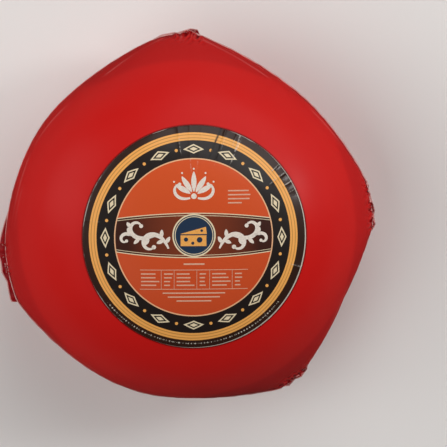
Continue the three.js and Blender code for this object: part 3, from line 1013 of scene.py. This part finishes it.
# The tuck's near-black line is painted shadow in the fold.
tuck_shade = add_node(tree, "ShaderNodeAttribute", attribute_name="tuck_shadow")
label_colour = add_node(tree, "ShaderNodeMix", {
    "Factor": tuck_shade.outputs["Fac"], "A": whitened_and_glint.outputs["Result"], "B": "#0d0a09"}, data_type="RGBA")


# %% [markdown]
# The varnish lies over paper and ink alike and gives a low, sharp gloss. One surface with a middling gloss
# could stand for both, but a coat over a rougher print keeps the sharp glints on the creases. Under it the
# paper's fibres give a slight relief. Real fibres are too fine to show, so they are drawn 1.2 mm wide. Every
# printed thing gets this finish from one function. The print's own IOR is matched to its weak shine.

# %% Paper fibres and varnish
def varnish(tree, colour):
    """Finishes a printed material: fibre relief, uneven gloss and a varnish coat over its colour."""
    place = add_node(tree, "ShaderNodeTexCoord").outputs["Object"]
    fibre = add_node(tree, "ShaderNodeTexNoise", {"Vector": place, "Scale": 1 / (1.2 * MM), "Detail": 4.0})
    relief = add_node(tree, "ShaderNodeBump", {
        "Height": fibre.outputs["Fac"], "Strength": 0.08, "Distance": 0.2 * MM})
    gloss = add_node(tree, "ShaderNodeMapRange", {
        "Value": fibre.outputs["Fac"], "To Min": 0.36, "To Max": 0.5})
    shader = add_node(tree, "ShaderNodeBsdfPrincipled", {
        "Base Color": colour, "Roughness": gloss.outputs["Result"], "Normal": relief.outputs["Normal"],
        "IOR": 1.35, "Coat Weight": 0.35, "Coat Roughness": 0.15})
    add_node(tree, "ShaderNodeOutputMaterial", {"Surface": shader.outputs["BSDF"]})


varnish(tree, label_colour.outputs["Result"])
wear(label, printed_paper)
print("the varnished printed paper takes", len(tree.nodes), "nodes")

# %% [markdown]
# ## The ornament
# The band's vines, the sprig above them, the small picture of a holed cheese and the plain bars below are
# drawn in millimetres, right and up from the print's middle. Curve objects could draw them, but they would
# have to be laid on the dome afterwards. Here each shape is a path with a width that changes along it: a
# scroll is a path whose bend grows evenly, a leaf a short path that swells, and a dot one that is as long as
# wide. A path becomes a thin closed skin, which follows the label's dome and creases.

# %% Paths and widths
def curl(start, heading, length, bend_start, bend_end, steps=44):
    """A path from a start and heading. Its bend, in degrees for each millimetre, changes evenly along it."""
    run = np.linspace(0, length, steps)
    bend = bend_start + (bend_end - bend_start) * run / length
    headings = heading + np.concatenate([[0], np.cumsum((bend[1:] + bend[:-1]) / 2 * np.diff(run))])
    middle = (headings[1:] + headings[:-1]) / 2 * DEGREE
    moves = np.stack([np.cos(middle), np.sin(middle)], axis=-1) * np.diff(run)[:, None]
    return np.array(start) + np.vstack([[0, 0], np.cumsum(moves, axis=0)])


def tapered(path, start, middle, end):
    """A path with half widths that go from start through middle to end."""
    along = np.linspace(0, 1, len(path))
    return path, between((start, end), along) + (middle - (start + end) / 2) * np.sin(math.pi * along)


def leaf(start, heading, length, width, bend):
    """A short path that swells. It bends one way first and then the other."""
    along = np.linspace(0.02, 0.98, 16)
    return curl(start, heading, length, -bend, bend, 16), width / 2 * np.sin(math.pi * along) ** 0.75


def dot(middle, size):
    """A round spot, as a path that is as long as it is wide."""
    turn = np.linspace(0.05, math.pi - 0.05, 13)
    path = np.stack([middle[0] - size / 2 * np.cos(turn), np.full(13, middle[1])], axis=-1)
    return path, size / 2 * np.sin(turn)


def bar(start, length, thickness, heading=0):
    """A straight bar, with more than one point for each millimetre so that it follows the dome."""
    path = curl(start, heading, length, 0, 0, steps=8 + int(length))
    return tapered(path, thickness / 2, thickness / 2, thickness / 2)


# %% The vine on the right half of the band
def heading_at(path, at):
    way = path[at + 1] - path[at]
    return math.atan2(way[1], way[0]) / DEGREE


first = curl((14.6, -6.0), 66, 29.2, -1.1, -19.2)
second = curl(first[15], -10, 27.4, -2.8, 22.0)
third = curl(second[19], 22, 15.2, 4.4, -38.0)
vine = [tapered(first, 0.5, 1.3, 0.45), tapered(second, 0.4, 1.2, 0.45), tapered(third, 0.35, 0.95, 0.35)]
vine += [dot(first[-1], 2.5), dot(second[-1], 2.3), dot(third[-1], 1.8)]
LEAF_WIDTH = 2.2
LEAF_BEND = 5  # degrees for each millimetre at its ends
# Each leaf: the scroll and the step of it where it grows, its lean from the scroll, and its length.
LEAVES = [
    (first, 5, 68, 4.4), (first, 11, 60, 4.8), (first, 8, -75, 4.4), (second, 8, -62, 4.6),
    (second, 16, -60, 4.8), (second, 24, -62, 4.2), (second, 30, -55, 3.6), (third, 12, 65, 4.0),
]
for path, at, lean, length in LEAVES:
    heading = heading_at(path, at) + lean
    vine.append(leaf(path[at], heading, length, LEAF_WIDTH, math.copysign(LEAF_BEND, lean)))

# %% The sprig above the band
SPRIG_FOOT = np.array([0.0, 24.0])
PETAL_SPREAD = 27  # degrees from one petal to the next
PETAL_LENGTH = 11.4  # of the middle petal, and each further out is shorter by the next value
PETAL_SHORTENING = 0.8
PETAL_WIDTH = 3.0

sprig = [dot(SPRIG_FOOT, 3.2)]
for petal in range(-2, 3):
    heading = 90 - PETAL_SPREAD * petal
    way = np.array([math.cos(heading * DEGREE), math.sin(heading * DEGREE)])
    length = PETAL_LENGTH - PETAL_SHORTENING * abs(petal)
    sprig.append(leaf(SPRIG_FOOT + 2.6 * way, heading, length, PETAL_WIDTH, 3.0 * np.sign(petal)))
    sprig.append(dot(SPRIG_FOOT + (length + 4.2) * way, 1.1))
for side in (-1, 1):
    scroll = curl(SPRIG_FOOT + (2.2, -1.0), -16, 16.5, 4.0, 19.0)
    sprig.append(tapered(scroll * (side, 1), 0.5, 0.9, 0.35))
    sprig.append(dot(scroll[-1] * (side, 1), 1.8))

# %% Bars and lines in place of the small print
draw = np.random.default_rng(8)
lines = [bar((-6, -15.0), 12, 0.9), bar((-31, -18.4), 62, 0.35), bar((-31, -29.6), 62, 0.35)]
for column in (-30.4, -10, 10.4):
    for row in range(4):
        level = -20.7 - 2.2 * row
        lines.append(bar((column, level), draw.uniform(7, 11), 0.75))
        lines.append(bar((column + 13.2, level), draw.uniform(2.5, 5), 0.75))
lines += [bar((x, -18.6), 10.8, 0.25, heading=-90) for x in (-18.8, -11.4, 1.6, 9.0, 22.0)]
for row, width in enumerate((36, 30, 20)):
    lines.append(bar((-width / 2, -31.9 - 2.3 * row), width, 0.75))
for row, width in enumerate((12, 13, 12.5, 8)):
    lines.append(bar((19.5, 27 - 2.3 * row), width, 0.75))

# %% The small picture of a holed cheese
CHEESE_FROM, CHEESE_TO = -7.7, 7.1
face_path = np.linspace((CHEESE_FROM, -1.5), (CHEESE_TO, -1.5), 14)
top_path = np.linspace((CHEESE_FROM, 2.35), (CHEESE_TO, 4.4), 14)
cheese = [tapered(face_path, 3.1, 3.1, 3.1), tapered(top_path, 0.08, 1.1, 2.1)]
HOLES = [(-4.6, -0.8, 2.4), (-0.7, -2.9, 1.8), (3.2, -1.0, 3.2), (4.4, 4.3, 1.5)]
holes = [dot(spot, size) for *spot, size in HOLES]
print(len(vine), "shapes in each vine,", len(sprig), "in the sprig and", len(lines), "bars and lines")

# %% [markdown]
# Printed ink is far thinner than a hair, but two surfaces at the same height would fight for the same pixels.
# So the skins of ink stand 0.05 mm above the sheet, and reach as far into it so that no gap shows. The holes
# of the small cheese lie on its gold, so they stand twice as high. A wide shape has more points across, or
# its flat face would cut into the curved dome.

# %% From paths to ink
INK_LIFT = 0.05 * MM
INK_POINT_GAP = 1.2  # a shape has one more point across for each of these millimetres of its half width


def ink_skin(path, half, lift=INK_LIFT):
    """A thin closed skin of ink on the label, from a path in millimetres and its half widths."""
    across = 2 + int(half.max() // INK_POINT_GAP)
    way = np.gradient(path, axis=0)
    way /= np.linalg.norm(way, axis=1)[:, None]
    aside = np.stack([-way[:, 1], way[:, 0]], axis=-1)
    shares = np.linspace(-1, 1, across)
    loop = np.concatenate([shares, shares[::-1]])
    lifts = np.repeat([lift, -INK_LIFT], across)
    points = (path[:, None] + aside[:, None] * half[:, None, None] * loop[:, None]) * MM + PRINT_OFF_CUT
    grid = on_label(points[..., 0], points[..., 1], LABEL_THICKNESS + lifts)
    return skin(grid, grid[0].mean(axis=0), grid[-1].mean(axis=0))


def mirrored(shape):
    return shape[0] * (-1, 1), shape[1]


cream_shapes = vine + [mirrored(shape) for shape in vine] + sprig
layers = {
    "cream": ("#f1e4d6", [ink_skin(*shape) for shape in cream_shapes]),
    "pale": ("#e3b094", [ink_skin(*shape) for shape in lines]),
    "gold": (GOLD, [ink_skin(*shape) for shape in cheese]),
    "navy": (NAVY, [ink_skin(*shape, lift=2 * INK_LIFT) for shape in holes]),
}
for name, (hex_colour, skins) in layers.items():
    layer = make_piece(f"ink_{name}", skins, smooth=False)
    print_ink, tree = new_material(f"{name} offset ink")
    place = add_node(tree, "ShaderNodeTexCoord").outputs["Object"]
    mottle = add_node(tree, "ShaderNodeTexNoise", {"Vector": place, "Scale": 1 / (0.8 * MM), "Detail": 2.0})
    coverage = add_node(tree, "ShaderNodeMapRange", {
        "Value": mottle.outputs["Fac"], "From Min": 0.35, "From Max": 0.65, "To Min": 0.86})
    uneven = add_node(tree, "ShaderNodeMix", {
        "Factor": coverage.outputs["Result"], "A": CHARCOAL, "B": hex_colour}, data_type="RGBA")
    varnish(tree, uneven.outputs["Result"])
    wear(layer, print_ink)
